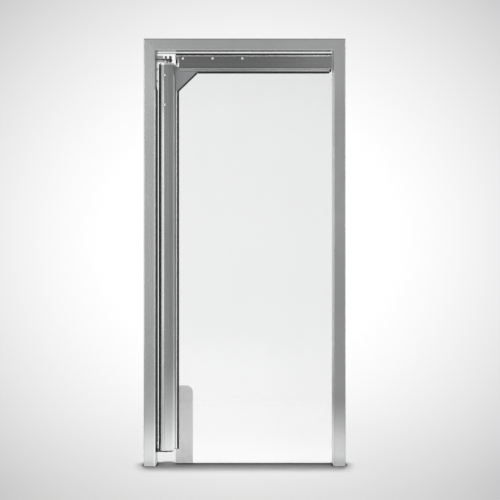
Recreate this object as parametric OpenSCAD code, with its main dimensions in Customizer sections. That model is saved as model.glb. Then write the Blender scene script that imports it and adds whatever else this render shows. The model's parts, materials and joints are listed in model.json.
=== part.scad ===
// Double-acting swing door for a passage: a box-tube frame, and a clear flexible sheet that
// hangs from a folded steel stile and top rail. The leaf turns both ways on two pins.
// Millimetres. X runs across the doorway from the hinge side, Y through it, Z up.
// The origin is at floor level, in the middle of the hinge jamb's outer side face.

/* [Doorway] */
// Clear width between the jambs
clear_width = 900; // [700:10:1200]
// Clear height under the header
clear_height = 2100; // [1900:10:2400]

/* [Frame tube] */
// Width of the tube's face
tube = 60; // [60:1:80]
// Depth of the tube through the doorway
tube_depth = 80; // [76:1:100]
// Wall thickness of the tube
tube_wall = 2; // [1.5:0.5:3]
// Outer corner radius of the tube
tube_corner = 4.5; // [3.5:0.5:6]
// Diameter of the fixing holes through each jamb
fixing_d = 9; // [7:0.5:11]
// Height of the lowest fixing hole
fixing_z = 300; // [200:10:350]
// Height from one fixing hole to the next
fixing_pitch = 500; // [400:10:520]

/* [Leaf gaps] */
// Gap between the hinge jamb and the stile
hinge_gap = 11; // [10:1:16]
// Gap between the rail and the header
head_gap = 6; // [6:1:12]
// Gap between the rail's free end and the strike jamb
rail_gap = 8.5; // [8:0.5:15]
// Gap between the sheet's free edge and the strike jamb
sheet_gap = 5; // [5:0.5:8]
// Gap between the sheet and the floor
floor_gap = 5; // [4:1:20]

/* [Folded profiles] */
// Depth of the stile and rail from face to face
profile_depth = 72; // [68:1:74]
// Thickness of the folded steel
steel = 2; // [1.5:0.5:2.5]
// Sides of the stile, from the middle of its nose to its shoulder
stile_flat = 44; // [42:1:50]
// Clamp flange of the stile
stile_flange = 14; // [12:0.5:24]
// Sides of the rail, from the middle of its nose to its shoulder
rail_flat = 50; // [46:1:54]
// Clamp lip of the rail
rail_flange = 6.5; // [3:0.5:10]
// Amount that each side of the stile leans in, from its second bend to its shoulder
stile_lean = 4; // [2:0.5:5]
// Width of the hem on the stile's clamp flanges
stile_hem = 6; // [5:0.5:8]
// Height of the stile's lower end above the floor
stile_foot = 80; // [78:1:110]
// Distance from the header down to the stile's upper end
stile_drop = 71; // [70:1:72]

/* [Sheet] */
// Thickness of the clear sheet
sheet_t = 7; // [4:0.5:8]
// Thickness of the gaskets, corner plates and patches on each face of the sheet
layer_t = 2; // [1.5:0.5:3]
// Width of gasket that shows beside the stile's flanges
stile_gasket_show = 9; // [5:0.5:12]
// Width of gasket that shows under the rail's flanges
rail_gasket_show = 7; // [5:0.5:12]
// Width of the triangular corner plate that shows
gusset_w = 102; // [80:1:130]
// Height of the triangular corner plate that shows
gusset_h = 99; // [80:1:130]
// Width of the patch at the foot of the sheet, past the sheet's notch
patch_w = 87; // [70:1:140]
// Height of the patch's top edge above the floor
patch_top = 400; // [250:1:600]
// Corner radius of the patch
patch_r = 35; // [10:1:40]

/* [Pivots] */
// Diameter of the pivot pins
pin_d = 16; // [12:1:18]
// Thickness of the bracket legs on the jamb
leg_t = 3; // [3:0.5:4]
// Width of the bracket legs
leg_w = 40; // [36:1:44]

/* [Hidden] */
$fn = 64;
fit = 0.05;
eps = 1;

// Frame
frame_width = clear_width + 2 * tube;
frame_height = clear_height + tube;
fixing_count = 4;
seal_t = 2;

// Leaf outline
nose_r = profile_depth / 2;
pivot_x = tube + hinge_gap + nose_r;
shoulder_x = pivot_x + stile_flat;
flange_x = shoulder_x + stile_flange;
stile_top = clear_height - stile_drop;
crown_z = clear_height - head_gap;
rail_axis_z = crown_z - nose_r;
shoulder_z = rail_axis_z - rail_flat;
flange_z = shoulder_z - rail_flange;
rail_end_x = tube + clear_width - rail_gap;
sheet_end_x = tube + clear_width - sheet_gap;
slot_half = sheet_t / 2 + layer_t;
bend_part = 0.46;

// Caps
cap_t = 8;
foot_cap_t = 3;
spigot = 12;
cap_wall = 3;
cap_fit = 0.2;
hinge_cap_w = 18.5;
hinge_cap_x = flange_x - 5.5;
rail_start_x = hinge_cap_x + hinge_cap_w;
free_cap_w = 9;
free_cap_x = rail_end_x - free_cap_w;
notch_x = shoulder_x + 7;

// Top hinge
pin_r = pin_d / 2;
// Pins stop this far short of the inner ends of their bushes
pin_short = 4;
// Running gap between the pieces that turn and the fixed arm
turn_gap = 0.3;
// Head of the lower pin: its thickness, and how far it reaches past the pin
pin_head_t = 5;
pin_head_lip = 4;
// How far the lower bush's flange reaches past the bush
thrust_lip = 6;
// Space between the ends of the plates and sheet and the folds round them
plate_gap = 4;
// Corner plates reach this far past their last bolt in the stile and in the rail
stile_leg_past = 40;
rail_leg_past = 22;
bush_wall = 3;
bush_r = pin_r + bush_wall;
boss_r = bush_r + 5;
boss_depth = 30;
tongue_half = 9;
disc_r = 25;
disc_t = 5;
collar_r = bush_r + 2;
arm_low = clear_height - 44;
arm_t = 8;
arm_half = 20;
arm_tip = 33;
block_end_x = pivot_x - 13;
block_half = 12;
block_h = 17;
stud_r = 6;
tip_bolt_x = pivot_x + 23;
tip_bolt_r = 7;
tip_bolt_drop = 6;
top_leg_low = clear_height - 182;
top_leg_high = clear_height - 8;
top_screws = [[0, clear_height - 145], [0, clear_height - 85]];
screw_r = 3.25;
leg_corner = 10;

// Bottom hinge
foot_arm_t = 5;
foot_arm_half = 22;
foot_arm_tip = 42;
thrust_t = 4.7;
thrust_z = stile_foot - foot_cap_t - thrust_t;
foot_arm_top = thrust_z - 0.3;
foot_leg_low = 60;
foot_leg_high = 102;
foot_screws = [[-11, 88], [11, 88]];

// Corner plates and their bolts
bolt_r = 4.2;
bolt_pitch = 150;
stile_bolts = [for (i = [0:1]) clear_height - 125 - i * bolt_pitch];
rail_bolt_z = shoulder_z + 51;
rail_bolts = [for (i = [0:2]) flange_x + 33.5 + i * bolt_pitch];
inside_x = pivot_x - 14;
inside_low = stile_foot + boss_depth + 6;
inside_high = stile_top - boss_depth - 8;
inside_top = crown_z - 14;
slot_x = shoulder_x + 2;
corner_top = stile_top - 2;
corner_x = rail_start_x + spigot + 4;

// ---- Shared shapes ----

// Square with round corners, its lower left corner at the origin
module soft_square(w, h, r) {
    translate([r, 0]) square([w - 2 * r, h]);
    translate([0, r]) square([w, h - 2 * r]);
    for (x = [r, w - r], y = [r, h - r]) translate([x, y]) circle(r);
}

// Section of the frame's tube, its lower left corner at the origin
module tube_section() {
    difference() {
        soft_square(tube, tube_depth, tube_corner);
        translate([tube_wall, tube_wall])
            soft_square(tube - 2 * tube_wall, tube_depth - 2 * tube_wall, tube_corner - tube_wall);
    }
}

// Round-nosed outline: x runs from the nose's middle to the shoulder, and each side may
// lean in from its second bend on
module nose_outline(flat, r, lean = 0) {
    bend = lean > 0 ? bend_part * flat : flat;
    circle(r);
    translate([0, -r]) square([bend, 2 * r]);
    if (lean > 0) polygon([[bend, -r], [flat, lean - r], [flat, r - lean], [bend, r]]);
}

// Folded section: round nose, two sides, a square shoulder, and two clamp flanges that may
// end in a hem, the steel folded back on itself
module folded_section(flat, flange, lean = 0, hem = 0) {
    difference() {
        nose_outline(flat, nose_r, lean);
        nose_outline(flat - steel, nose_r - steel, lean);
        translate([0, -slot_half]) square([flat + eps, 2 * slot_half]);
    }
    for (side = [1, -1]) clamp_flange(flat, flange, hem, side);
}

// Flange on one side of the sheet, from the shoulder to its edge
module clamp_flange(flat, flange, hem, side) {
    edge = flat + flange;
    plain = hem > 0 ? edge - steel : edge;
    low = side > 0 ? slot_half : -slot_half - steel;
    hem_low = side > 0 ? low : low - steel;
    translate([flat - steel, low]) square([plain - flat + steel, steel]);
    if (hem > 0) {
        translate([edge - hem, hem_low]) square([hem - steel, 2 * steel]);
        translate([edge - steel, hem_low + steel]) circle(steel);
    }
}

// Puts a shape drawn across X and Z into a plate from y to y + t
module upright_plate(y, t) {
    translate([0, y + t, 0]) rotate([90, 0, 0]) linear_extrude(t) children();
}

// One plate on the front or the back face of the sheet
module on_face(front) {
    upright_plate(front ? -slot_half : sheet_t / 2, layer_t) children();
}

// Turns a shape drawn along -Z of the rail, so that its length runs along X
module along_rail(x) {
    translate([x, 0, rail_axis_z]) rotate([0, 90, 0]) children();
}

// Holes for the bolts of the corner, through the whole leaf
module corner_bolt_holes() {
    for (z = stile_bolts) translate([pivot_x, 0, z])
        rotate([90, 0, 0]) cylinder(r = bolt_r, h = profile_depth + 2 * eps, center = true);
    for (x = rail_bolts) translate([x, 0, rail_bolt_z])
        rotate([90, 0, 0]) cylinder(r = bolt_r, h = profile_depth + 2 * eps, center = true);
}

// ---- Frame ----

// Row of fixing holes through one jamb, its tube starting at x
module fixing_holes(x) {
    for (i = [0:fixing_count - 1])
        translate([x - eps, 0, fixing_z + i * fixing_pitch])
            rotate([0, 90, 0]) cylinder(r = fixing_d / 2, h = tube + seal_t + 2 * eps);
}

module plain_jamb() {
    difference() {
        translate([0, -tube_depth / 2, 0]) linear_extrude(frame_height) tube_section();
        translate([0, 0, frame_height]) rotate([0, 45, 0])
            translate([-tube * 2, -tube, 0]) cube([tube * 4, tube * 2, tube * 2]);
        fixing_holes(0);
    }
}

module hinge_jamb() {
    color("silver") plain_jamb();
}

module strike_jamb() {
    color("silver") translate([frame_width, 0, 0]) mirror([1, 0, 0]) plain_jamb();
}

module header() {
    color("silver") difference() {
        translate([0, 0, frame_height]) rotate([0, 90, 0])
            translate([0, -tube_depth / 2, 0]) linear_extrude(frame_width) tube_section();
        translate([0, 0, frame_height]) rotate([0, 45, 0])
            translate([-tube * 2, -tube, -tube * 2]) cube([tube * 4, tube * 2, tube * 2]);
        translate([frame_width, 0, frame_height]) rotate([0, -45, 0])
            translate([-tube * 2, -tube, -tube * 2]) cube([tube * 4, tube * 2, tube * 2]);
    }
}

// Flat rubber strip on the hinge jamb, between the two brackets
module jamb_seal() {
    low = foot_leg_high + 2;
    side = tube_corner + 1;
    color("black") difference() {
        translate([tube, side - tube_depth / 2, low])
            cube([seal_t, tube_depth - 2 * side, top_leg_low - 2 - low]);
        fixing_holes(0);
    }
}

// ---- Pivots on the jamb ----

// Bracket leg against the jamb, from z to z + h, with screw holes at Y and Z of each screw
module bracket_leg(z, h, screws) {
    difference() {
        translate([tube, 0, z]) rotate([0, 90, 0]) translate([-h, -leg_w / 2, 0])
            linear_extrude(leg_t) soft_square(h, leg_w, leg_corner);
        for (s = screws) translate([tube - eps, s[0], s[1]])
            rotate([0, 90, 0]) cylinder(r = screw_r, h = leg_t + 2 * eps);
    }
}

// Arm from the leg past the pin to its round end, with the pin's hole
module bracket_arm(z, t, half, reach) {
    end_x = pivot_x + reach - half;
    difference() {
        translate([0, 0, z]) linear_extrude(t) {
            translate([tube + leg_t - eps, -half]) square([end_x - tube - leg_t + eps, 2 * half]);
            translate([end_x, 0]) circle(half);
        }
        translate([pivot_x, 0, z - eps]) cylinder(r = pin_r + fit, h = t + 2 * eps);
    }
}

// The block over the arm stiffens it against the leg
module top_hinge_bracket() {
    color("lightgray") {
        bracket_leg(top_leg_low, top_leg_high - top_leg_low, top_screws);
        difference() {
            bracket_arm(arm_low, arm_t, arm_half, arm_tip);
            translate([tip_bolt_x, 0, arm_low - eps])
                cylinder(r = tip_bolt_r - 2, h = arm_t + 2 * eps);
        }
        translate([tube + leg_t - eps, -block_half, arm_low + arm_t - eps])
            cube([block_end_x - tube - leg_t + eps, 2 * block_half, block_h + eps]);
    }
}

module bottom_hinge_bracket() {
    color("dimgray") {
        bracket_leg(foot_leg_low, foot_leg_high - foot_leg_low, foot_screws);
        bracket_arm(foot_arm_top - foot_arm_t, foot_arm_t, foot_arm_half, foot_arm_tip);
    }
}

// Pin pressed into the arm, with a thinner stud on top
module top_pivot_pin() {
    low = stile_top - boss_depth + pin_short;
    arm_top = arm_low + arm_t;
    color("dimgray") translate([pivot_x, 0, 0]) {
        translate([0, 0, low]) cylinder(r = pin_r, h = arm_top - low);
        translate([0, 0, arm_top - eps]) cylinder(r = stud_r, h = block_h + eps);
    }
}

// Bolt at the arm's end, with a collar above and below the arm
module arm_end_bolt() {
    color("dimgray") translate([tip_bolt_x, 0, 0]) {
        translate([0, 0, arm_low - tip_bolt_drop]) cylinder(r = tip_bolt_r, h = tip_bolt_drop);
        translate([0, 0, arm_low - eps]) cylinder(r = tip_bolt_r - 2 - fit, h = arm_t + 2 * eps);
        translate([0, 0, arm_low + arm_t]) cylinder(r = tip_bolt_r, h = block_h);
    }
}

module bottom_pivot_pin() {
    low = foot_arm_top - foot_arm_t;
    color("dimgray") translate([pivot_x, 0, 0]) {
        translate([0, 0, low]) cylinder(r = pin_r, h = stile_foot + boss_depth - pin_short - low);
        translate([0, 0, low - pin_head_t])
            cylinder(r = pin_r + pin_head_lip, h = pin_head_t);
    }
}

// ---- Stile ----

module stile_profile() {
    color("gray") difference() {
        translate([pivot_x, 0, stile_foot])
            linear_extrude(stile_top - stile_foot)
                folded_section(stile_flat, stile_flange, stile_lean, stile_hem);
        corner_bolt_holes();
    }
}

// Lid of the stile with a boss inside it, and a tongue over the clamp flanges
module stile_top_cap() {
    color("gray") difference() {
        union() {
            translate([pivot_x, 0, stile_top]) linear_extrude(cap_t) {
                nose_outline(stile_flat, nose_r, stile_lean);
                translate([0, -tongue_half])
                    square([hinge_cap_x - pivot_x - 1, 2 * tongue_half]);
            }
            translate([pivot_x, 0, stile_top - boss_depth])
                cylinder(r = boss_r, h = boss_depth + eps);
        }
        translate([pivot_x, 0, stile_top - boss_depth - eps])
            cylinder(r = bush_r + fit, h = boss_depth + cap_t + 2 * eps);
    }
}

module stile_bottom_cap() {
    color("dimgray") difference() {
        union() {
            translate([pivot_x, 0, stile_foot - foot_cap_t])
                linear_extrude(foot_cap_t) nose_outline(stile_flat, nose_r, stile_lean);
            translate([pivot_x, 0, stile_foot - eps]) cylinder(r = boss_r, h = boss_depth + eps);
        }
        translate([pivot_x, 0, stile_foot - foot_cap_t - eps])
            cylinder(r = bush_r + fit, h = boss_depth + foot_cap_t + 2 * eps);
    }
}

// Disc and collar that turn with the stile, under the fixed arm
module top_swing_collar() {
    low = stile_top + cap_t;
    color("silver") translate([pivot_x, 0, 0]) difference() {
        union() {
            translate([0, 0, low]) cylinder(r = disc_r, h = disc_t);
            translate([0, 0, low]) cylinder(r = collar_r, h = arm_low - turn_gap - low);
        }
        translate([0, 0, low - eps]) cylinder(r = bush_r + fit, h = arm_low - low + 2 * eps);
    }
}

// Plain bearing round a pin
module bush(z, h) {
    translate([pivot_x, 0, z]) difference() {
        cylinder(r = bush_r, h = h);
        translate([0, 0, -eps]) cylinder(r = pin_r + fit, h = h + 2 * eps);
    }
}

module top_bush() {
    low = stile_top - boss_depth;
    color("black") bush(low, arm_low - turn_gap - low);
}

// The lower bearing has a flange that carries the leaf's weight on the arm
module bottom_bush() {
    color("black") {
        bush(thrust_z, stile_foot + boss_depth - thrust_z);
        translate([pivot_x, 0, thrust_z]) difference() {
            cylinder(r = bush_r + thrust_lip, h = thrust_t);
            translate([0, 0, -eps]) cylinder(r = bush_r - eps, h = thrust_t + 2 * eps);
        }
    }
}

// ---- Rail ----

module rail_profile() {
    color("gray") difference() {
        along_rail(rail_start_x)
            linear_extrude(free_cap_x - rail_start_x) folded_section(rail_flat, rail_flange);
        corner_bolt_holes();
    }
}

// Outline of the rail's inside, drawn in by a gap all round
module rail_inside(gap) {
    nose_outline(rail_flat - steel - gap, nose_r - steel - gap);
}

// Closed plug inside one end of the rail, its end plate at x and its rim toward +X or -X,
// with a slot for the corner plates
module rail_plug(x, toward) {
    rim_x = toward > 0 ? x : x - spigot;
    plate_x = toward > 0 ? x : x - cap_wall;
    difference() {
        union() {
            difference() {
                along_rail(rim_x) linear_extrude(spigot) rail_inside(cap_fit);
                along_rail(rim_x - eps) linear_extrude(spigot + 2 * eps)
                    rail_inside(cap_fit + cap_wall);
            }
            along_rail(plate_x) linear_extrude(cap_wall) rail_inside(cap_fit);
        }
        translate([rim_x - eps, -slot_half - cap_fit, shoulder_z])
            cube([spigot + 2 * eps, 2 * (slot_half + cap_fit), corner_top + eps - shoulder_z]);
    }
}

// Upper block in the rail's outline, and a web that leaves a window beside the rail's end
module rail_hinge_end_cap() {
    window_high = shoulder_z + 49;
    web_low = stile_top + cap_t + 2;
    web_half = 18;
    web_t = 6;
    color("gray") {
        difference() {
            along_rail(hinge_cap_x)
                linear_extrude(hinge_cap_w + eps) nose_outline(rail_flat, nose_r);
            translate([hinge_cap_x - eps, -profile_depth, shoulder_z - eps])
                cube([hinge_cap_w + 3 * eps, 2 * profile_depth, window_high - shoulder_z + eps]);
            along_rail(rail_start_x) linear_extrude(2 * eps) difference() {
                translate([-profile_depth, -profile_depth])
                    square([3 * profile_depth, 2 * profile_depth]);
                rail_inside(cap_fit);
            }
        }
        translate([hinge_cap_x, -web_half, web_low])
            cube([web_t, 2 * web_half, window_high - web_low + eps]);
        rail_plug(rail_start_x, 1);
    }
}

module rail_free_end_cap() {
    color("gray") {
        along_rail(free_cap_x) linear_extrude(free_cap_w) nose_outline(rail_flat, nose_r);
        translate([free_cap_x, -slot_half - steel, flange_z])
            cube([free_cap_w, 2 * (slot_half + steel), rail_flange + eps]);
        rail_plug(free_cap_x + eps, -1);
    }
}

// ---- Corner plates, gaskets, sheet and patches ----

// Plate inside the corner: a leg in the stile, a leg in the rail and a triangle that shows
module corner_plate_outline() {
    stile_leg_low = stile_bolts[1] - stile_leg_past;
    rail_leg_end = rail_bolts[2] + rail_leg_past;
    polygon([
        [inside_x, stile_leg_low], [shoulder_x - steel, stile_leg_low],
        [shoulder_x - steel, flange_z - gusset_h], [flange_x, flange_z - gusset_h],
        [flange_x + gusset_w, flange_z], [flange_x + gusset_w, shoulder_z + plate_gap],
        [rail_leg_end, shoulder_z + plate_gap], [rail_leg_end, inside_top],
        [corner_x, inside_top], [corner_x, corner_top],
        [slot_x, corner_top], [slot_x, inside_high], [inside_x, inside_high]
    ]);
}

module corner_plate(front) {
    color("gray") difference() {
        on_face(front) corner_plate_outline();
        corner_bolt_holes();
    }
}

module corner_plate_front() { corner_plate(true); }
module corner_plate_back() { corner_plate(false); }

module stile_gasket(front) {
    low = stile_foot - foot_cap_t;
    color("black") on_face(front) translate([slot_x, low])
        square([flange_x + stile_gasket_show - slot_x, flange_z - gusset_h - 2 - low]);
}

module stile_gasket_front() { stile_gasket(true); }
module stile_gasket_back() { stile_gasket(false); }

module rail_gasket(front) {
    start = flange_x + gusset_w + 2;
    color("black") on_face(front) translate([start, flange_z - rail_gasket_show])
        square([free_cap_x - 1 - start, rail_flange + rail_gasket_show]);
}

module rail_gasket_front() { rail_gasket(true); }
module rail_gasket_back() { rail_gasket(false); }

// Strip along the long side of the corner plate's triangle
module corner_gasket(front) {
    show = 8;
    gap = 0.3;
    near = flange_x + gap;
    color("black") on_face(front) polygon([
        [near, flange_z - gusset_h - gap], [near + show, flange_z - gusset_h - gap],
        [near + gusset_w, flange_z - show - gap], [near + gusset_w, flange_z - gap]
    ]);
}

module corner_gasket_front() { corner_gasket(true); }
module corner_gasket_back() { corner_gasket(false); }

// Clear sheet: it reaches into the stile and the rail, clear of the pivots
module pvc_sheet() {
    rail_end = free_cap_x - spigot - plate_gap;
    step_z = flange_z - 2 * plate_gap;
    color("white", 0.35) difference() {
        upright_plate(-sheet_t / 2, sheet_t) polygon([
            [notch_x, floor_gap], [sheet_end_x, floor_gap], [sheet_end_x, step_z],
            [rail_end, step_z], [rail_end, inside_top], [corner_x, inside_top],
            [corner_x, corner_top], [slot_x, corner_top], [slot_x, inside_high],
            [inside_x, inside_high], [inside_x, inside_low], [slot_x, inside_low],
            [slot_x, stile_foot], [notch_x, stile_foot]
        ]);
        corner_bolt_holes();
    }
}

// Second layer at the foot of the sheet, beside the stile's gasket
module foot_patch(front) {
    edge_x = flange_x + stile_gasket_show + 0.5;
    patch_x = notch_x + patch_w;
    under_z = stile_foot - foot_cap_t - 0.5;
    color("white", 0.6) on_face(front) {
        translate([notch_x, floor_gap]) square([patch_x - notch_x, under_z - floor_gap]);
        translate([edge_x, floor_gap]) square([patch_x - edge_x, patch_top - patch_r - floor_gap]);
        translate([edge_x, floor_gap]) square([patch_x - patch_r - edge_x, patch_top - floor_gap]);
        translate([patch_x - patch_r, patch_top - patch_r]) circle(patch_r);
    }
}

module foot_patch_front() { foot_patch(true); }
module foot_patch_back() { foot_patch(false); }

hinge_jamb();
strike_jamb();
header();
jamb_seal();
top_hinge_bracket();
top_pivot_pin();
arm_end_bolt();
bottom_hinge_bracket();
bottom_pivot_pin();
stile_profile();
stile_top_cap();
stile_bottom_cap();
top_swing_collar();
top_bush();
bottom_bush();
rail_profile();
rail_hinge_end_cap();
rail_free_end_cap();
corner_plate_front();
corner_plate_back();
stile_gasket_front();
stile_gasket_back();
rail_gasket_front();
rail_gasket_back();
corner_gasket_front();
corner_gasket_back();
pvc_sheet();
foot_patch_front();
foot_patch_back();
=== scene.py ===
"""Looks of a double-acting swing door: finishes, bolts, screws and studio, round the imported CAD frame."""

import json
import math

import bmesh
import bpy
from mathutils import Matrix, Vector


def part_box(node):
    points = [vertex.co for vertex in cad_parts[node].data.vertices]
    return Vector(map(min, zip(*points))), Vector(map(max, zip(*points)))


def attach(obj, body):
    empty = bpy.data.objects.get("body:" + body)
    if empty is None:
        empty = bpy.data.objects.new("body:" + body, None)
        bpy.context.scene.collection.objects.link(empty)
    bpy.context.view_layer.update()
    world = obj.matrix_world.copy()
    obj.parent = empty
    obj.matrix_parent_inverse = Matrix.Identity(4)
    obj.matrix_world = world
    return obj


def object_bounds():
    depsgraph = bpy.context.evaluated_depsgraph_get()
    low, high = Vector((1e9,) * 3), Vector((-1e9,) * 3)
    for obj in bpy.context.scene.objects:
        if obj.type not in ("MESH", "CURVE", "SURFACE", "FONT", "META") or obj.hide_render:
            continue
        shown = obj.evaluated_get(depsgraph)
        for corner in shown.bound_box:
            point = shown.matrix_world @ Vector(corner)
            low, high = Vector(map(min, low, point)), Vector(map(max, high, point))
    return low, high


bl_info = {
    "name": "Swing Door Finisher",
    "version": (1, 0, 0),
    "blender": (4, 5, 0),
    "location": "View3D > Sidebar > Door",
    "description": "Finishes a clear swing door and its steel frame, and sets up a pale studio",
    "category": "Object",
}

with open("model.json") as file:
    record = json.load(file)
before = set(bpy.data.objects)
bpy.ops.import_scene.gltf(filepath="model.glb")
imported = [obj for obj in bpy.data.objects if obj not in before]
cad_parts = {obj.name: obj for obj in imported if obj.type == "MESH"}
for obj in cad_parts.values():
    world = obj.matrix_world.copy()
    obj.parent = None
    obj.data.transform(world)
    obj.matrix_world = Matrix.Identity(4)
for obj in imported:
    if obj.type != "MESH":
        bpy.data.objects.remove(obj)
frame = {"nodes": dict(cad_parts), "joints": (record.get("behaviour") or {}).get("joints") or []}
CAD_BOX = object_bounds()

MM = 0.001
FRAME_BODY = "frame"
LEAF_BODY = "leaf"
STUDIO_CENTRE_X = (CAD_BOX[0].x + CAD_BOX[1].x) / 2
FACTOR = dict(subtype="FACTOR", min=0.0, max=1.0)
COLOUR = dict(subtype="COLOR", size=3, min=0.0, max=1.0)
LENGTH = dict(subtype="DISTANCE", unit="LENGTH", min=0.0)

# Places on the door
BOLT_PITCH = 150 * MM
BOLT_UNDER_HEADER = 125 * MM
BOLT_PAST_STILE = 33.5 * MM
BOLT_UNDER_RAIL_TOP = 35 * MM
SHOULDER_UNDER_RAIL_TOP = 86 * MM
ARM_UNDER_PIN_TOP = 25 * MM
LEG_THICKNESS = 3 * MM
TOP_SCREWS_UNDER_HEADER = (145 * MM, 85 * MM)
LOW_SCREWS_Z = 88 * MM
LOW_SCREWS_Y = (-11 * MM, 11 * MM)
STILE_BOLTS = 2
RAIL_BOLTS = 3

# Radius and depth of the hole in a head
BOLT_SOCKET = (2.5 * MM, 2.0 * MM)
SCREW_SOCKET = (2.2 * MM, 1.6 * MM)

# Tone changes: the highest tone that a ramp holds, and the soft edge of a painted light and shade band
RAMP_TOP = 4.0
BAND_BLUR = 0.3 * MM

# Heights at which the painted bands end: the painted low light on the hinge side, on the stile's hem and on
# the strike jamb, and a height above the whole door
HINGE_LIGHT_TOP = 1.9
HEM_LIGHT_TOP = 1.98
STRIKE_LIGHT_TOP = 2.0
NO_TOP = 3.0

# Glow of the backdrop: full within an oval round the door's middle, then a steady fall down to its least
GLOW_START = 0.0556
GLOW_SLOPE = 1.361
GLOW_SQUASH = 1.25
GLOW_RISE = 0.0175
GLOW_LEAST = 0.55

# Floor, in metres from the door's middle: radius, where it starts to fade out, where it is gone, and how
# much further out it shows in shiny faces
FLOOR_RADIUS = 7.0
FADE_START = 0.3
FADE_END = 2.6
FADE_END_MIRRORED = 2.4

# How far above the floor a thing may stand to make the painted dark line of a contact, and the painted soft
# shade round it
CONTACT_REACH = 14 * MM
SHADE_REACH = 60 * MM


def node_box(name):
    """Lowest and highest corner of a CAD node."""
    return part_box(name)


# ---- Settings ----


class SteelSettings(bpy.types.PropertyGroup):
    """Colours and grain of the steel parts."""

    frame_colour: bpy.props.FloatVectorProperty(
        name="Frame", description="Colour of the frame's tubes", default=(0.60, 0.605, 0.61), **COLOUR)
    leaf_colour: bpy.props.FloatVectorProperty(
        name="Leaf", description="Colour of the folded profiles", default=(0.415, 0.418, 0.421), **COLOUR)
    plate_colour: bpy.props.FloatVectorProperty(
        name="Corner plates", description="Colour of the corner plates",
        default=(0.42, 0.425, 0.43), **COLOUR)
    hinge_colour: bpy.props.FloatVectorProperty(
        name="Hinges", description="Colour of the brackets and caps", default=(0.64, 0.643, 0.646), **COLOUR)
    bolt_colour: bpy.props.FloatVectorProperty(
        name="Bolts", description="Colour of the bolts and screws", default=(0.92, 0.922, 0.926), **COLOUR)
    cap_colour: bpy.props.FloatVectorProperty(
        name="Caps", description="Colour of the stile's caps and collar",
        default=(0.82, 0.822, 0.826), **COLOUR)
    bracket_colour: bpy.props.FloatVectorProperty(
        name="Lower bracket", description="Colour of the lower bracket",
        default=(0.035, 0.035, 0.036), **COLOUR)
    pin_colour: bpy.props.FloatVectorProperty(
        name="Pins", description="Colour of the pivot pins", default=(0.16, 0.16, 0.165), **COLOUR)
    roughness: bpy.props.FloatProperty(
        name="Roughness", description="How dull the satin steel is", default=0.27, **FACTOR)
    grain_width: bpy.props.FloatProperty(
        name="Grain width", description="Spacing of the brushed lines", default=0.7 * MM, **LENGTH)


class SheetSettings(bpy.types.PropertyGroup):
    """Finish of the clear sheet, the patches and the gaskets."""

    tint: bpy.props.FloatVectorProperty(
        name="Tint", description="Colour of light passed by each face",
        default=(0.942, 0.944, 0.945), **COLOUR)
    haze_colour: bpy.props.FloatVectorProperty(
        name="Haze", description="Colour of the haze in the sheet", default=(0.83, 0.832, 0.834), **COLOUR)
    haze: bpy.props.FloatProperty(
        name="Haze amount", description="How milky each face of the sheet is", default=0.05, **FACTOR)
    patch_haze: bpy.props.FloatProperty(
        name="Patch haze", description="How milky each face of a patch is", default=0.12, **FACTOR)
    gasket_colour: bpy.props.FloatVectorProperty(
        name="Gasket", description="Colour of the rubber", default=(0.022, 0.022, 0.023), **COLOUR)


class FastenerSettings(bpy.types.PropertyGroup):
    """Sizes of the bolts and screws."""

    dome_radius: bpy.props.FloatProperty(
        name="Dome radius", description="Radius of the corner bolts' heads", default=6.4 * MM, **LENGTH)
    dome_height: bpy.props.FloatProperty(
        name="Dome height", description="Height of the corner bolts' heads", default=3.2 * MM, **LENGTH)
    washer_radius: bpy.props.FloatProperty(
        name="Washer radius", description="Outer radius of the washers", default=8.2 * MM, **LENGTH)
    washer_thickness: bpy.props.FloatProperty(
        name="Washer thickness", description="Thickness of the washers", default=1.3 * MM, **LENGTH)
    screw_radius: bpy.props.FloatProperty(
        name="Screw radius", description="Radius of the bracket screws' heads", default=6.0 * MM, **LENGTH)
    screw_height: bpy.props.FloatProperty(
        name="Screw height", description="Height of the bracket screws' heads", default=2.9 * MM, **LENGTH)


class StudioSettings(bpy.types.PropertyGroup):
    """Camera, lamps, floor and background."""

    camera_distance: bpy.props.FloatProperty(
        name="Camera distance", description="From the camera to the frame's front", default=3.175, **LENGTH)
    camera_height: bpy.props.FloatProperty(
        name="Camera height", description="Height of the camera", default=1.0917, **LENGTH)
    camera_aside: bpy.props.FloatProperty(
        name="Camera aside", description="From the door's middle to the camera", default=0.027, **LENGTH)
    lens: bpy.props.FloatProperty(
        name="Lens", description="Focal length in millimetres on a 36 mm sensor",
        default=45.3, min=10, max=200)
    floor_colour: bpy.props.FloatVectorProperty(
        name="Floor", description="Colour of the floor", default=(0.97, 0.97, 0.97), **COLOUR)
    sky: bpy.props.FloatProperty(
        name="Fill light", description="Strength of the light from all round", default=0.3, min=0.0, max=2.0)
    overhead: bpy.props.FloatProperty(
        name="Overhead light", description="Strength of the light from above", default=2.2, min=0.0, max=10.0)
    overhead_width: bpy.props.FloatProperty(
        name="Overhead width", description="How soft the shadows of the light from above are",
        default=math.radians(2.6), min=0.0, max=1.0, subtype="ANGLE")
    overhead_tilt: bpy.props.FloatProperty(
        name="Overhead tilt", description="How far the light from above leans in from behind",
        default=math.radians(1.45), min=0.0, max=1.0, subtype="ANGLE")
    top_power: bpy.props.FloatProperty(
        name="Top lamp", description="Power of the soft lamp overhead",
        default=55.0, min=0.0, subtype="POWER", unit="POWER")
    side_power: bpy.props.FloatProperty(
        name="Left box", description="Power of the soft box at the front left", default=44.0, min=0.0,
        subtype="POWER", unit="POWER")
    strip_power: bpy.props.FloatProperty(
        name="Right box", description="Power of the narrow soft box at the right", default=24.0, min=0.0,
        subtype="POWER", unit="POWER")


# ---- Node materials ----


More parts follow.
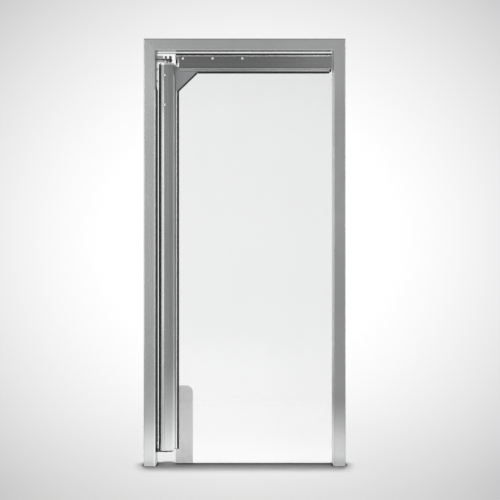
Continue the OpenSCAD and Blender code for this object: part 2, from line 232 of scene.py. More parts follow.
class Nodes:
    """A node tree in the making, ended by one shader."""

    def __init__(self, tree, output):
        self.tree = tree
        self.tree.nodes.clear()
        self.output = self.add(output)
        self.place = self.add("TexCoord").outputs

    def add(self, kind, inputs=None, **settings):
        """One node. An input is a socket to link or a plain value."""
        node = self.tree.nodes.new("ShaderNode" + kind)
        for key, value in settings.items():
            setattr(node, key, value)
        for key, value in (inputs or {}).items():
            self.feed(node.inputs[key], value)
        return node

    def feed(self, socket, value):
        """Links a socket, or sets a constant on it."""
        if isinstance(value, bpy.types.NodeSocket):
            self.tree.links.new(value, socket)
        elif socket.type == "RGBA":
            socket.default_value = (*tuple(value)[:3], 1.0)
        else:
            socket.default_value = value

    def math(self, operation, *values, clamp=False):
        """One step of arithmetic."""
        node = self.add("Math", operation=operation, use_clamp=clamp)
        for socket, value in zip(node.inputs, values):
            self.feed(socket, value)
        return node.outputs[0]

    def spread(self, value, low, high, to_low=0.0, to_high=1.0, smooth=False):
        """Maps low..high of a value to to_low..to_high, clamped."""
        node = self.add("MapRange", {
            "Value": value, "From Min": low, "From Max": high, "To Min": to_low, "To Max": to_high},
            interpolation_type="SMOOTHSTEP" if smooth else "LINEAR")
        return node.outputs["Result"]

    def ramp(self, value, points):
        """Straight stretches between (value, tone) points, level beyond the first and the last."""
        low, high = points[0][0], points[-1][0]
        node = self.add("ValToRGB", {"Fac": self.spread(value, low, high)})
        stops = node.color_ramp.elements
        while len(stops) < len(points):
            stops.new(0.5)
        for stop, (place, tone) in zip(stops, points):
            stop.position = (place - low) / (high - low)
            stop.color = (*(tone / RAMP_TOP,) * 3, 1.0)
        return self.math("MULTIPLY", node.outputs["Color"], RAMP_TOP)

    def end(self, shader):
        """Closes the tree with its shader."""
        self.tree.links.new(shader.outputs[0], self.output.inputs[0])


class Finish(Nodes):
    """A node material in the making."""

    def __init__(self, name):
        self.material = bpy.data.materials.new(name)
        self.material.use_nodes = True
        super().__init__(self.material.node_tree, "OutputMaterial")

    def noise(self, scale, detail=3.0, roughness=0.5, distortion=0.0):
        """Noise whose scale is given for each axis, per metre."""
        spot = self.add("Mapping", {"Vector": self.place["Object"], "Scale": scale})
        node = self.add("TexNoise", {
            "Vector": spot.outputs[0], "Scale": 1.0, "Detail": detail, "Roughness": roughness,
            "Distortion": distortion})
        return node.outputs["Fac"]

    def blend(self, factor, first, second, kind="MIX"):
        """Mix of two colours."""
        node = self.add("Mix", data_type="RGBA", blend_type=kind)
        self.feed(node.inputs[0], factor)
        self.feed(node.inputs[6], first)
        self.feed(node.inputs[7], second)
        return node.outputs[2]

    def toned(self, colour, tone):
        """A colour multiplied by a tone."""
        grey = self.add("CombineColor", {"Red": tone, "Green": tone, "Blue": tone}).outputs[0]
        return self.blend(1.0, colour, grey, kind="MULTIPLY")

    def mixed(self, factor, first, second):
        """Mix of two shaders."""
        return self.add("MixShader", {0: factor, 1: first.outputs[0], 2: second.outputs[0]})

    def spot(self):
        """X, Y and Z of the shaded point in the part's frame."""
        return self.add("SeparateXYZ", {"Vector": self.place["Object"]}).outputs

    def ways(self):
        """X, Y and Z of the way that the face looks."""
        return self.add("SeparateXYZ", {"Vector": self.place["Normal"]}).outputs

    def bump(self, height, distance, strength=1.0):
        """Normal of a surface with some relief."""
        return self.add("Bump", {"Height": height, "Distance": distance, "Strength": strength}).outputs[0]

    def end(self, shader):
        """Closes the tree and gives the finished material."""
        super().end(shader)
        return self.material


def shade(colour, factor):
    """A colour made darker or lighter."""
    return tuple(min(1.0, part * factor) for part in colour)


def scale_along(axis, across, along):
    """Noise scales that run long on one axis and short on the others."""
    return tuple(along if i == "XYZ".index(axis) else across for i in range(3))


def brushed_steel(name, colour, roughness, grain_width, axis, contrast=0.10, mottle=0.10, wear=0.0,
                  **painted_light):
    """Satin steel with fine lines along one axis, soft clouds, smudges, rare scratches and bright edges.

    Further settings paint light and shade on it by place and by the way that a face looks."""
    f = Finish(name)
    lines = f.noise(scale_along(axis, 1 / grain_width, 3.0), detail=4.0, roughness=0.65)
    coarse = f.noise(scale_along(axis, 0.16 / grain_width, 1.1), detail=2.0)
    clouds = f.noise(scale_along(axis, 5.0, 1.3), detail=3.0)
    smudges = f.spread(f.noise((14.0, 14.0, 9.0), detail=5.0, roughness=0.6), 0.52, 0.72)
    streaks = f.noise(scale_along(axis, 420.0, 9.0), detail=1.0, distortion=0.4)
    scratches = f.spread(streaks, 0.73, 0.76)
    tone = f.math("ADD", f.spread(lines, 0.3, 0.7, 1 - contrast, 1 + contrast),
                  f.spread(coarse, 0.3, 0.7, -contrast / 2, contrast / 2))
    tone = f.math("MULTIPLY", tone, f.spread(clouds, 0.3, 0.7, 1 - mottle / 2, 1 + mottle / 2))
    tone = f.math("MULTIPLY", tone, f.spread(smudges, 0, 1, 1.0, 0.93))
    tone = f.math("ADD", tone, f.math("MULTIPLY", scratches, 0.12))
    # Worn corners are brighter
    if wear:
        tone = f.math("ADD", tone, f.math("MULTIPLY", rounded_edges(f), wear))
    base = f.toned(colour, f.math("MULTIPLY", tone, painted_light_tone(f, **painted_light)))
    dull = f.math("ADD", f.spread(lines, 0.3, 0.7, roughness - 0.05, roughness + 0.05),
                  f.math("MULTIPLY", smudges, 0.09), clamp=True)
    dull = f.math("SUBTRACT", dull, f.math("MULTIPLY", scratches, 0.1), clamp=True)
    height = f.math("ADD", lines, f.math("MULTIPLY", scratches, -1.5))
    shader = f.add("BsdfPrincipled", {
        "Base Color": base, "Metallic": 1.0, "Roughness": dull,
        "Normal": f.bump(height, 0.02 * MM, 0.5)})
    return f.end(shader)


def painted_light_tone(f, ramps=(), under=(), crown=1.0, brow=1.0, side=1.0, bands=()):
    """Product of the painted light and shade by place and by the way that a face looks.

    ramps: axis, and (place, tone) points along it; under: (X, tone) points for faces that look down;
    crown, brow and side: tones of faces that look up, a little up and sideways; bands: axis, low and
    high edge, tone and top height of painted highlights and painted shade."""
    spot, ways = f.spot(), f.ways()
    up = ways[2]
    tone = f.spread(up, 0.75, 0.95, 1.0, crown)
    if side != 1.0:
        tone = f.math("MULTIPLY", tone, f.spread(f.math("ABSOLUTE", ways[0]), 0.8, 0.95, 1.0, side))
    for axis, points in ramps:
        tone = f.math("MULTIPLY", tone, f.ramp(spot["XYZ".index(axis)], points))
    if under:
        down = f.spread(up, -0.98, -0.9, 1.0, 0.0)
        change = f.math("MULTIPLY", down, f.math("SUBTRACT", f.ramp(spot[0], under), 1.0))
        tone = f.math("MULTIPLY", tone, f.math("ADD", 1.0, change))
    if brow != 1.0:
        tilted = f.math("MULTIPLY", f.spread(up, 0.02, 0.1), f.spread(up, 0.88, 0.97, 1.0, 0.0))
        tone = f.math("MULTIPLY", tone, f.spread(tilted, 0.0, 1.0, 1.0, brow))
    for axis, low, high, factor, top in bands:
        place = spot["XYZ".index(axis)]
        inside = f.math("MULTIPLY", f.spread(place, low - BAND_BLUR, low + BAND_BLUR),
                        f.spread(place, high - BAND_BLUR, high + BAND_BLUR, 1.0, 0.0))
        inside = f.math("MULTIPLY", inside, f.spread(spot[2], top - BAND_BLUR, top + BAND_BLUR, 1.0, 0.0))
        tone = f.math("MULTIPLY", tone, f.spread(inside, 0.0, 1.0, 1.0, factor))
    return tone


def painted_band(axis, edge, low, high, factor, top=NO_TOP):
    """One painted highlight or painted shade band, from low to high millimetres past an edge."""
    return axis, edge + low * MM, edge + high * MM, factor, top


def rounded_edges(f):
    """1 on rounded corners of a box-like piece and 0 on its flats."""
    sizes = [f.math("ABSOLUTE", part) for part in f.ways()]
    flat = f.math("MAXIMUM", f.math("MAXIMUM", sizes[0], sizes[1]), sizes[2])
    return f.spread(flat, 0.99, 0.86)


def turned_steel(name, colour, roughness, **painted_light):
    """Zinc-plated or machined steel of small parts, with painted light and shade by place where settings give
    it.
    """
    f = Finish(name)
    fine = f.noise((900.0, 900.0, 900.0), detail=3.0)
    blotch = f.noise((160.0, 160.0, 160.0), detail=4.0)
    base = f.blend(f.spread(blotch, 0.35, 0.65), shade(colour, 0.84), shade(colour, 1.1))
    if painted_light:
        base = f.toned(base, painted_light_tone(f, **painted_light))
    dull = f.math("ADD", f.spread(fine, 0.3, 0.7, roughness - 0.06, roughness + 0.08),
                  f.spread(blotch, 0.5, 0.7, 0.0, 0.07))
    shader = f.add("BsdfPrincipled", {
        "Base Color": base, "Metallic": 1.0, "Roughness": dull, "Normal": f.bump(fine, 0.02 * MM, 0.6)})
    return f.end(shader)


def rubber(name, colour):
    """Matt black rubber with a bloom of grey dust and a fine texture."""
    f = Finish(name)
    grit = f.noise((1400.0, 1400.0, 1400.0), detail=2.0)
    bloom = f.noise((30.0, 30.0, 12.0), detail=5.0, roughness=0.6)
    base = f.blend(f.spread(bloom, 0.45, 0.75), colour, shade(colour, 2.6))
    shader = f.add("BsdfPrincipled", {
        "Base Color": base, "Roughness": f.spread(bloom, 0.3, 0.7, 0.5, 0.68),
        "Specular IOR Level": 0.4, "Normal": f.bump(grit, 0.05 * MM, 0.5)})
    return f.end(shader)


def clear_sheet(name, tint, haze_colour, haze, foot_haze, foot_glow):
    """Clear soft sheet that lets the view through, with soft waves, scuffs and gloss.

    Its haze changes towards the foot, and there it passes a painted glow: light of its own tone, brighter
    than the tint, so what lies behind looks lighter."""
    f = Finish(name)
    waves = f.noise((3.4, 3.4, 1.5), detail=2.0)
    ripple = f.noise((26.0, 26.0, 7.0), detail=2.0)
    cloud = f.noise((2.2, 2.2, 1.4), detail=3.0)
    scuffs = f.spread(f.noise((260.0, 90.0, 22.0), detail=2.0, distortion=0.5), 0.70, 0.78)
    x, _, z = f.spot()
    marks = f.math("MULTIPLY", scuffs, f.spread(z, 0.0, 0.5, 1.0, 0.25))
    height = f.math("ADD", waves, f.math("MULTIPLY", ripple, 0.12))
    normal = f.bump(height, 1.6 * MM, 1.0)
    milk = f.math("ADD", f.spread(cloud, 0.3, 0.7, haze * 0.8, haze * 1.2),
                  f.math("MULTIPLY", marks, 0.10), clamp=True)
    milk = f.math("MULTIPLY", milk, f.spread(z, 0.03, 0.7, foot_haze, 1.0))
    # The lowest few centimetres hold back light on its way to the floor
    rays = f.add("LightPath").outputs
    light = f.math("MAXIMUM", rays["Is Shadow Ray"], rays["Is Diffuse Ray"])
    foot = f.spread(z, 0.01, 0.05, 1.0, 0.0)
    held = f.math("MULTIPLY", light, f.math("MULTIPLY", foot, 0.8))
    # Painted light: how far the brighter tone of the foot has taken over from the tint, more towards the foot
    # and the hinge side
    foot_glow_share = f.ramp(z, (
        (0.045, 0.97), (0.085, 0.89), (0.135, 0.71), (0.24, 0.61), (0.34, 0.39), (0.44, 0.295), (0.64, 0.16),
        (0.84, 0.095), (1.5, 0.07), (2.0, 0.04)))
    foot_glow_share = f.math("ADD", foot_glow_share, f.spread(x, 0.25, 0.75, 0.12, 0.0), clamp=True)
    clear = f.blend(foot_glow_share, tint, (foot_glow,) * 3)
    through = f.add("BsdfTransparent", {"Color": f.blend(held, clear, (0.05,) * 3)})
    body = f.add("BsdfPrincipled", {
        "Base Color": f.blend(marks, haze_colour, shade(haze_colour, 1.12)), "Roughness": 0.35,
        "Normal": normal})
    inside = f.mixed(milk, through, body)
    gloss = f.add("BsdfGlossy", {
        "Color": (1.0, 1.0, 1.0), "Roughness": f.spread(marks, 0, 1, 0.05, 0.3), "Normal": normal})
    graze = f.add("LayerWeight", {"Blend": 0.5}).outputs["Facing"]
    mirror = f.math("ADD", f.math("MULTIPLY", f.math("POWER", graze, 5.0), 0.9), 0.035)
    return f.end(f.mixed(mirror, inside, gloss))


def nylon(name, colour):
    """Dense black plastic of the bearings."""
    f = Finish(name)
    speck = f.noise((700.0, 700.0, 700.0), detail=3.0)
    base = f.blend(f.spread(speck, 0.4, 0.7), colour, shade(colour, 1.8))
    shader = f.add("BsdfPrincipled", {
        "Base Color": base, "Roughness": f.spread(speck, 0.3, 0.7, 0.32, 0.45),
        "Normal": f.bump(speck, 0.02 * MM, 0.5)})
    return f.end(shader)


def paint(material, *names):
    """Puts one material on CAD nodes."""
    for name in names:
        data = frame["nodes"][name].data
        data.materials.clear()
        data.materials.append(material)


# ---- Small meshes ----


def turned(bm, outline, place, steps=32):
    """Adds a solid of revolution about Z from (radius, height) points that start and end on the axis."""
    low = bm.verts.new(place @ Vector((0, 0, outline[0][1])))
    high = bm.verts.new(place @ Vector((0, 0, outline[-1][1])))
    rings = []
    for radius, height in outline[1:-1]:
        rings.append([
            bm.verts.new(place @ Vector((radius * math.cos(a), radius * math.sin(a), height)))
            for a in (math.tau * i / steps for i in range(steps))])
    for i in range(steps):
        j = (i + 1) % steps
        bm.faces.new((low, rings[0][j], rings[0][i]))
        bm.faces.new((high, rings[-1][i], rings[-1][j]))
        for inner, outer in zip(rings, rings[1:]):
            bm.faces.new((inner[i], inner[j], outer[j], outer[i]))


def dome(radius, height, base, steps=8):
    """Outline of a low round head that stands on a face at height base."""
    points = [(0.0, base), (radius, base)]
    for i in range(1, steps):
        angle = math.pi / 2 * i / steps
        points.append((radius * math.cos(angle), base + height * math.sin(angle)))
    return [*points, (0.0, base + height)]


def disc(radius, thickness, base, edge=0.2 * MM):
    """Outline of a washer with a soft edge."""
    return [(0.0, base), (radius - edge, base), (radius, base + edge),
            (radius, base + thickness - edge), (radius - edge, base + thickness), (0.0, base + thickness)]


def socket_head(radius, height, base, hole, depth, steps=8):
    """Outline of a dome with a hole in its top."""
    points = dome(radius, height, base, steps)
    top = base + height
    rim = [p for p in points[:-1] if p[0] > hole]
    return [*rim, (hole, top - 0.1 * MM), (hole - 0.2 * MM, top - depth), (0.0, top - depth)]


def finish_mesh(bm, name, material, body):
    """Turns a bmesh into a piece that rides on a body."""
    bmesh.ops.recalc_face_normals(bm, faces=bm.faces)
    data = bpy.data.meshes.new(name)
    bm.to_mesh(data)
    bm.free()
    data.materials.append(material)
    piece = bpy.data.objects.new(name, data)
    bpy.context.scene.collection.objects.link(piece)
    data.shade_smooth()
    edge = piece.modifiers.new("crease", "EDGE_SPLIT")
    edge.split_angle = math.radians(38)
    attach(piece, body)
    return piece


def facing(direction, spot):
    """Matrix that stands a turned shape on a spot, its axis along a direction."""
    return Matrix.Translation(spot) @ Vector(direction).to_track_quat("Z", "Y").to_matrix().to_4x4()


# ---- Operators ----


class DOOR_OT_frame_tubes(bpy.types.Operator):
    """Finish the jambs and the header"""

    bl_idname = "door.frame_tubes"
    bl_label = "Frame tubes"

    def execute(self, context):
        settings = context.scene.door_steel
        hinge_edge = node_box("hinge_jamb")[1].x
        inner, outer = node_box("strike_jamb")[0].x, node_box("strike_jamb")[1].x
        high = node_box("header")[1].z
        middle = (node_box("header")[0].z + high) / 2
        # Painted light and shade: tones along each tube and on the header's underside
        hinge_painted_light = ("Z", (
            (0.012, 0.95), (0.03, 1.18), (0.05, 1.28), (0.135, 1.25), (0.235, 1.0), (0.435, 0.91),
            (0.7, 0.94), (1.04, 1.02), (1.6, 1.06), (1.75, 1.13), (1.95, 1.28), (2.1, 1.31)))
        strike_painted_light = ("Z", (
            (0.012, 0.78), (0.03, 0.92), (0.055, 1.14), (0.135, 1.18), (0.235, 0.97), (0.335, 0.76),
            (0.435, 0.84), (0.8, 0.84), (1.04, 0.89), (1.25, 1.0), (1.75, 0.97), (1.85, 1.04), (1.95, 1.14)))
        header_painted_light = ("X", ((0.05, 1.2), (0.18, 1.13), (0.26, 1.1), (0.62, 1.1), (0.75, 1.15), (1.0, 1.18)))
        underside_painted_light = ((0.16, 0.5), (0.2, 0.85), (0.6, 0.95), (0.86, 1.1))
        # Painted light and shade: the bands are painted highlights and painted shade on rounded corners,
        # inner faces and lines under the header, and side, crown and brow paint sideways and upward faces
        # darker
        for name, axis, painted_light in (
                ("hinge_jamb", "Z", {"ramps": [hinge_painted_light], "side": 0.7, "bands": [
                    painted_band("X", 0.0, -2, 0.5, 0.6), painted_band("X", 0.0, 0.6, 4, 0.7),
                    painted_band("X", hinge_edge, -8, -3.6, 1.55, HINGE_LIGHT_TOP),
                    painted_band("X", hinge_edge, -3.6, 0.5, 0.4),
                    painted_band("X", hinge_edge, -3.6, 0.5, 1.9, HINGE_LIGHT_TOP)]}),
                ("strike_jamb", "Z", {"ramps": [strike_painted_light], "side": 0.42, "bands": [
                    painted_band("X", inner, -2, 0.5, 0.35), painted_band("X", inner, -2, 0.5, 5.1, STRIKE_LIGHT_TOP),
                    painted_band("X", inner, 0.8, 4.5, 0.75), painted_band("X", outer, -4, -0.6, 0.7)]}),
                ("header", "X", {
                    "ramps": [header_painted_light], "under": underside_painted_light, "crown": 0.36, "brow": 0.2, "bands": [
                        painted_band("Y", 0.0, -12, 4, 2.5, middle), painted_band("Y", 0.0, 4, 18, 0.6, middle),
                        painted_band("Y", 0.0, 18, 45, 2.4, middle), painted_band("Z", high, -5, -0.6, 0.45)]})):
            steel = brushed_steel(
                name + "_steel", settings.frame_colour, settings.roughness, settings.grain_width, axis,
                contrast=0.06, mottle=0.08, wear=0.2, **painted_light)
            paint(steel, name)
        return {"FINISHED"}


class DOOR_OT_leaf_profiles(bpy.types.Operator):
    """Finish the stile, the rail, their caps and the corner plates"""

    bl_idname = "door.leaf_profiles"
    bl_label = "Leaf profiles"

    def execute(self, context):
        settings = context.scene.door_steel
        nose, hem = node_box("stile_profile")[0].x, node_box("stile_profile")[1].x
        shoulder = node_box("rail_profile")[1].z - SHOULDER_UNDER_RAIL_TOP
        # Painted light along the stile's height and the rail's length
        stile_painted_light = ("Z", (
            (0.08, 1.9), (0.135, 1.8), (0.5, 1.0), (0.9, 0.96), (1.4, 1.02), (1.7, 1.03), (1.85, 0.95)))
        rail_painted_light = ("X", (
            (0.3, 0.63), (0.5, 0.64), (0.61, 0.71), (0.75, 0.84), (0.86, 0.98), (0.93, 0.98)))

        def leaf_steel(name, axis, **painted_light):
            """Steel of the folded profiles."""
            return brushed_steel(name, settings.leaf_colour, settings.roughness, settings.grain_width, axis,
                                 **painted_light)

        # Painted shade dims the nose's highlight, painted highlights and painted shade run along the hem, and
        # the stile is painted lighter towards its foot
        stile = leaf_steel("stile_steel", "Z", contrast=0.12, mottle=0.14, ramps=[stile_painted_light], bands=[
            painted_band("X", nose, 7, 16, 0.7), painted_band("X", nose, 20, 26.5, 0.8), painted_band("X", nose, 30, 36, 0.85),
            painted_band("X", hem, -17, -12.5, 2.0, HEM_LIGHT_TOP), painted_band("X", hem, -10, -5, 0.62, HEM_LIGHT_TOP),
            painted_band("X", hem, -5, 1, 2.4, HINGE_LIGHT_TOP)])
        # Painted highlights on the flange lip and the crown, painted shade above the shoulder, and painted
        # light that grows towards the free end
        rail = leaf_steel(
            "rail_steel", "X", contrast=0.12, mottle=0.14, ramps=[rail_painted_light], crown=0.3, bands=[
                painted_band("Z", shoulder, -20, -1, 1.4), painted_band("Z", shoulder, -1, 2, 3.4),
                painted_band("Z", shoulder, 2, 7, 0.7), painted_band("Z", shoulder, 63.5, 69.5, 1.45)])
        # Painted shade: the caps are painted near black round the rail's shoulder
        rail_cap = leaf_steel("rail_cap_steel", "X", crown=0.3, bands=[painted_band("Z", shoulder, -20, 48, 0.05)])
        free_cap = leaf_steel("free_cap_steel", "X", crown=0.3, ramps=[rail_painted_light],
                              bands=[painted_band("Z", shoulder, -20, 0, 0.05)])
        plates = brushed_steel("plate_steel", settings.plate_colour, settings.roughness + 0.08,
                               settings.grain_width, "Z", contrast=0.08, mottle=0.3)
        paint(stile, "stile_profile")
        paint(rail, "rail_profile")
        paint(free_cap, "rail_free_end_cap")
        paint(rail_cap, "rail_hinge_end_cap")
        paint(plates, "corner_plate_front", "corner_plate_back")
        return {"FINISHED"}


class DOOR_OT_hinges(bpy.types.Operator):
    """Finish the brackets, pins, bearings and stile caps"""

    bl_idname = "door.hinges"
    bl_label = "Hinges"

    def execute(self, context):
        settings = context.scene.door_steel
        arm = node_box("top_pivot_pin")[1].z - ARM_UNDER_PIN_TOP
        # Painted shade: the arm of the top bracket is painted dark
        paint(turned_steel("hinge_steel", settings.hinge_colour, 0.3, bands=[painted_band("Z", arm, 0, 6, 0.15)]),
              "top_hinge_bracket")
        paint(turned_steel("cap_steel", settings.cap_colour, 0.3), "stile_top_cap", "stile_bottom_cap",
              "top_swing_collar")
        paint(turned_steel("pin_steel", settings.pin_colour, 0.25), "top_pivot_pin", "bottom_pivot_pin",
              "arm_end_bolt")
        paint(turned_steel("bracket_steel", settings.bracket_colour, 0.3), "bottom_hinge_bracket")
        paint(nylon("bearing_nylon", (0.02, 0.02, 0.022)), "top_bush", "bottom_bush")
        return {"FINISHED"}


class DOOR_OT_gaskets(bpy.types.Operator):
    """Finish the rubber gaskets"""

    bl_idname = "door.gaskets"
    bl_label = "Gaskets"

    def execute(self, context):
        black = rubber("gasket_rubber", context.scene.door_sheet.gasket_colour)
        paint(black, "jamb_seal", *(n for n in frame["nodes"] if "gasket" in n))
        return {"FINISHED"}


class DOOR_OT_clear_sheet(bpy.types.Operator):
    """Finish the clear sheet and its foot patches"""

    bl_idname = "door.clear_sheet"
    bl_label = "Clear sheet"

    def execute(self, context):
        settings = context.scene.door_sheet
        # Painted glow at the foot: tone 1.05 for the sheet and 0.955 for the patches
        paint(clear_sheet("clear_pvc", settings.tint, settings.haze_colour, settings.haze, 0.1, 1.05),
              "pvc_sheet")
        paint(clear_sheet("patch_pvc", shade(settings.tint, 0.97), settings.haze_colour,
                          settings.patch_haze, 1.3, 0.955),
              "foot_patch_front", "foot_patch_back")
        return {"FINISHED"}


class DOOR_OT_corner_bolts(bpy.types.Operator):
    """Make the domed bolts of the leaf's corner"""

    bl_idname = "door.corner_bolts"
    bl_label = "Corner bolts"

    def execute(self, context):
        sizes = context.scene.door_fasteners
        steel = turned_steel("bolt_steel", context.scene.door_steel.bolt_colour, 0.3)
        dark = turned_steel("washer_steel", context.scene.door_steel.pin_colour, 0.3)
        clear_height = node_box("header")[0].z
        stile, rail = node_box("stile_profile"), node_box("rail_profile")
        pivot_x = frame["joints"][0]["pos_m"][0]
        spots = [(pivot_x, clear_height - BOLT_UNDER_HEADER - i * BOLT_PITCH) for i in range(STILE_BOLTS)]
        spots += [(stile[1].x + BOLT_PAST_STILE + i * BOLT_PITCH, rail[1].z - BOLT_UNDER_RAIL_TOP)
                  for i in range(RAIL_BOLTS)]
        for name, y, way in (("front", stile[0].y, -1), ("back", stile[1].y, 1)):
            bm, rings = bmesh.new(), bmesh.new()
            for x, z in spots:
                place = facing((0, way, 0), (x, y, z))
                turned(rings, disc(sizes.washer_radius, sizes.washer_thickness, 0.0), place)
                head = dome(sizes.dome_radius, sizes.dome_height, sizes.washer_thickness)
                if way > 0:
                    head = socket_head(sizes.dome_radius, sizes.dome_height, sizes.washer_thickness,
                                       *BOLT_SOCKET)
                turned(bm, head, place)
            finish_mesh(bm, "corner_bolts_" + name, steel, LEAF_BODY)
            finish_mesh(rings, "corner_washers_" + name, dark, LEAF_BODY)
        return {"FINISHED"}


class DOOR_OT_bracket_screws(bpy.types.Operator):
    """Make the screws of the hinge brackets"""

    bl_idname = "door.bracket_screws"
    bl_label = "Bracket screws"

    def execute(self, context):
        sizes = context.scene.door_fasteners
        steel = turned_steel("screw_steel", context.scene.door_steel.pin_colour, 0.3)
        clear_height = node_box("header")[0].z
        leg_face = node_box("top_hinge_bracket")[0].x + LEG_THICKNESS
        for name, spots in (
                ("top", [(0.0, clear_height - drop) for drop in TOP_SCREWS_UNDER_HEADER]),
                ("bottom", [(y, LOW_SCREWS_Z) for y in LOW_SCREWS_Y])):
            bm = bmesh.new()
            for y, z in spots:
                turned(bm, socket_head(sizes.screw_radius, sizes.screw_height, 0.0, *SCREW_SOCKET),
                       facing((1, 0, 0), (leg_face, y, z)))
            finish_mesh(bm, name + "_bracket_screws", steel, FRAME_BODY)
        return {"FINISHED"}


class DOOR_OT_studio(bpy.types.Operator):
    """Make the floor, the lamps, the background and the camera"""

    bl_idname = "door.studio"
    bl_label = "Studio"

    def execute(self, context):
        scene = context.scene
        settings = scene.door_studio
        scene.view_settings.view_transform = "Standard"
        make_floor(settings)
        make_background(scene, settings)
        make_sun(settings)
        middle = STUDIO_CENTRE_X
        make_lamp("top_box", (middle, 0.35, 4.2), (middle, 0.0, 0.0), 2.4, 2.4, settings.top_power)
        make_lamp("left_box", (-2.1, -2.5, 1.4), (0.1, 0.0, 1.3), 2.2, 3.4, settings.side_power)
        make_lamp("right_box", (2.9, -1.2, 1.3), (0.2, 0.0, 1.2), 0.8, 3.2, settings.strip_power)
        front = CAD_BOX[0].y
        camera = bpy.data.objects.new("camera", bpy.data.cameras.new("camera"))
        camera.data.lens = settings.lens
        camera.location = (middle + settings.camera_aside, front - settings.camera_distance,
                           settings.camera_height)
        camera.rotation_euler = (math.radians(90), 0, 0)
        scene.collection.objects.link(camera)
        scene.camera = camera
        return {"FINISHED"}


def make_floor(settings):
    """Round pale floor with a painted pool of light and painted contact shade, that fades out far from the
    door.
    """
    bm = bmesh.new()
    bmesh.ops.create_circle(bm, cap_ends=True, segments=96, radius=FLOOR_RADIUS,
                            matrix=Matrix.Translation((STUDIO_CENTRE_X, 0, 0)))
    data = bpy.data.meshes.new("floor")
    bm.to_mesh(data)
    bm.free()
    f = Finish("floor_paper")
    centred = f.add("Mapping", {"Vector": f.place["Object"], "Location": (-STUDIO_CENTRE_X, 0, 0)})
    away = f.add("VectorMath", {0: centred.outputs[0]}, operation="LENGTH").outputs["Value"]
    x, y, _ = f.add("SeparateXYZ", {"Vector": centred.outputs[0]}).outputs
    rays = f.add("LightPath").outputs
    mirrored = rays["Is Glossy Ray"]
    # Painted pool of light: the tone falls off towards the front and the sides
    sides = f.math("MULTIPLY", f.math("MULTIPLY", x, x), f.ramp(y, (
        (-0.25, 0.156), (0.0, 0.133), (0.5, 0.0995), (1.0, 0.077), (2.0, 0.0504), (2.6, 0.0405))))
    painted_pool = f.math("SUBTRACT", f.ramp(y, (
        (-0.45, 0.776), (-0.25, 0.815), (0.0, 0.859), (0.5, 0.911), (1.0, 0.946), (2.0, 0.988), (2.6, 1.0))),
        sides)
    painted_pool = f.math("MAXIMUM", painted_pool, 0.5)
    # Painted contact shadow: it is darker where something stands close above, in front of the door only
    ahead = f.spread(y, 0.0, 0.03, 1.0, 0.0)
    shade_near = f.add("AmbientOcclusion", {"Distance": CONTACT_REACH}, samples=32).outputs["AO"]
    shade_wide = f.add("AmbientOcclusion", {"Distance": SHADE_REACH}, samples=32).outputs["AO"]
    painted_shade = f.math("MULTIPLY", f.spread(shade_wide, 0.5, 1.0, 0.5, 0.0), ahead)
    painted_contact_line = f.math("MULTIPLY", f.spread(shade_near, 0.74, 0.96, 0.92, 0.0), ahead)
    unshaded = f.math("MULTIPLY", f.math("SUBTRACT", 1.0, painted_shade), f.math("SUBTRACT", 1.0, painted_contact_line))
    tone = f.math("MULTIPLY", f.math("MULTIPLY", painted_pool, 1.02), unshaded, clamp=True)
    grit = f.noise((60.0, 60.0, 60.0), detail=4.0)
    base = f.toned(f.blend(grit, shade(settings.floor_colour, 0.97), settings.floor_colour), tone)
    paper = f.add("BsdfPrincipled", {
        "Base Color": base, "Roughness": 0.75, "Specular IOR Level": 0.2,
        "Normal": f.bump(grit, 0.1 * MM, 0.3)})
    # Further away it shows as a painted glow of the same falloff, and shiny faces see a painted glow, bright
    # near the door
    even = f.math("MULTIPLY", f.spread(away, 0.75, 1.6, 0.0, 0.97), rays["Is Camera Ray"])
    paper = f.mixed(even, paper, f.add("Emission", {"Strength": painted_pool}))
    painted_reflection_glow = f.spread(away, FADE_START, 1.6, 1.0, 0.55, smooth=True)
    paper = f.mixed(mirrored, paper, f.add("Emission", {"Strength": painted_reflection_glow}))
    reach = f.math("ADD", FADE_END, f.math("MULTIPLY", mirrored, FADE_END_MIRRORED))
    gone = f.add("BsdfTransparent", {"Color": (1.0, 1.0, 1.0)})
    data.materials.append(f.end(f.mixed(f.spread(away, FADE_START, reach, smooth=True), paper, gone)))
    floor = bpy.data.objects.new("floor", data)
    bpy.context.scene.collection.objects.link(floor)


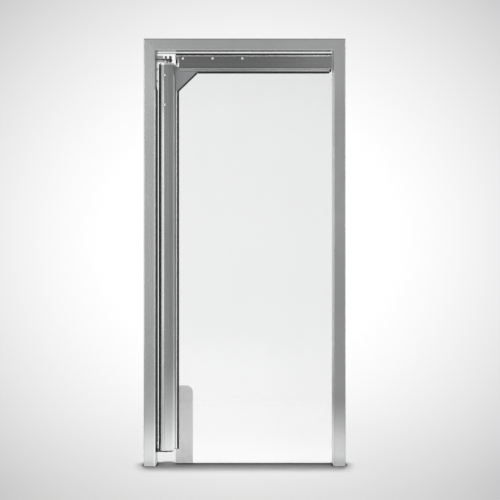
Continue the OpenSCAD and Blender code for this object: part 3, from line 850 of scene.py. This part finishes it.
def make_background(scene, settings):
    """Pale background: a glow behind the door, a gradient for shiny faces, and an even fill light."""
    world = bpy.data.worlds.new("studio")
    scene.world = world
    world.use_nodes = True
    nodes = Nodes(world.node_tree, "OutputWorld")
    x, y, z = nodes.add("SeparateXYZ", {"Vector": nodes.place["Generated"]}).outputs
    rays = nodes.add("LightPath").outputs
    # Shiny faces see it dim above, between the four main directions and at the front
    above = nodes.spread(z, 0.15, 0.48, 0.0, 0.26, smooth=True)
    corner = nodes.math("MULTIPLY", x, y)
    corners = nodes.math("MULTIPLY", nodes.math("MULTIPLY", corner, corner), 1.7)
    mirrored = nodes.math("SUBTRACT", nodes.math("SUBTRACT", 1.0, above), corners)
    mirrored = nodes.math("MULTIPLY", mirrored, nodes.spread(y, -0.7, 0.2, 0.55, 1.0))
    # The glow
    rise = nodes.math("SUBTRACT", nodes.math("DIVIDE", z, y), GLOW_RISE)
    across = nodes.math("DIVIDE", x, y)
    off = nodes.math("ADD", nodes.math("MULTIPLY", across, across),
                     nodes.math("MULTIPLY", nodes.math("MULTIPLY", rise, rise), GLOW_SQUASH))
    glow = nodes.spread(off, GLOW_START, GLOW_START + (1.0 - GLOW_LEAST) / GLOW_SLOPE, 1.0, GLOW_LEAST)
    seen = nodes.math("MAXIMUM", rays["Is Camera Ray"], rays["Is Transmission Ray"])

    def choose(test, no, yes):
        """One of two values, by a test of 0 or 1."""
        return nodes.math("ADD", nodes.math("MULTIPLY", nodes.math("SUBTRACT", 1.0, test), no),
                          nodes.math("MULTIPLY", test, yes))

    strength = choose(seen, choose(rays["Is Glossy Ray"], settings.sky, mirrored), glow)
    nodes.end(nodes.add("Background", {"Color": (1.0, 1.0, 1.0), "Strength": strength}))


def make_sun(settings):
    """Even light from straight above and a little behind."""
    data = bpy.data.lights.new("overhead", "SUN")
    data.energy = settings.overhead
    data.angle = settings.overhead_width
    lamp = bpy.data.objects.new("overhead", data)
    lamp.rotation_euler = (-settings.overhead_tilt, 0, 0)
    lamp.visible_glossy = False
    bpy.context.scene.collection.objects.link(lamp)


def make_lamp(name, place, target, width, height, power):
    """Soft box that faces a point. It only shows in shiny faces and lights nothing else."""
    data = bpy.data.lights.new(name, "AREA")
    data.shape = "RECTANGLE"
    data.size, data.size_y = width, height
    data.energy = power
    lamp = bpy.data.objects.new(name, data)
    lamp.location = place
    lamp.rotation_euler = (Vector(target) - Vector(place)).to_track_quat("-Z", "Y").to_euler()
    lamp.visible_diffuse = False
    bpy.context.scene.collection.objects.link(lamp)


class DOOR_PT_panel(bpy.types.Panel):
    """Lists the steps and the settings that finish the door"""

    bl_idname = "DOOR_PT_panel"
    bl_label = "Swing door"
    bl_space_type = "VIEW_3D"
    bl_region_type = "UI"
    bl_category = "Door"

    def draw(self, context):
        for step in STEPS:
            self.layout.operator(step.bl_idname)
        for group in GROUPS:
            settings = getattr(context.scene, group)
            box = self.layout.box()
            for key in settings.bl_rna.properties.keys():
                if key not in ("rna_type", "name"):
                    box.prop(settings, key)


STEPS = (
    DOOR_OT_frame_tubes, DOOR_OT_leaf_profiles, DOOR_OT_hinges, DOOR_OT_gaskets, DOOR_OT_clear_sheet,
    DOOR_OT_corner_bolts, DOOR_OT_bracket_screws, DOOR_OT_studio,
)
GROUPS = {
    "door_steel": SteelSettings, "door_sheet": SheetSettings,
    "door_fasteners": FastenerSettings, "door_studio": StudioSettings,
}


def register():
    """Adds the settings, the steps and the panel."""
    for group, settings in GROUPS.items():
        bpy.utils.register_class(settings)
        setattr(bpy.types.Scene, group, bpy.props.PointerProperty(type=settings))
    for cls in (*STEPS, DOOR_PT_panel):
        bpy.utils.register_class(cls)


def unregister():
    """Takes the panel, the steps and the settings away."""
    for cls in reversed((*STEPS, DOOR_PT_panel)):
        bpy.utils.unregister_class(cls)
    for group, settings in GROUPS.items():
        delattr(bpy.types.Scene, group)
        bpy.utils.unregister_class(settings)


def main():
    """Builds every piece in order."""
    register()
    for step in STEPS:
        family, action = step.bl_idname.split(".")
        getattr(getattr(bpy.ops, family), action)()


if __name__ == "__main__":
    main()
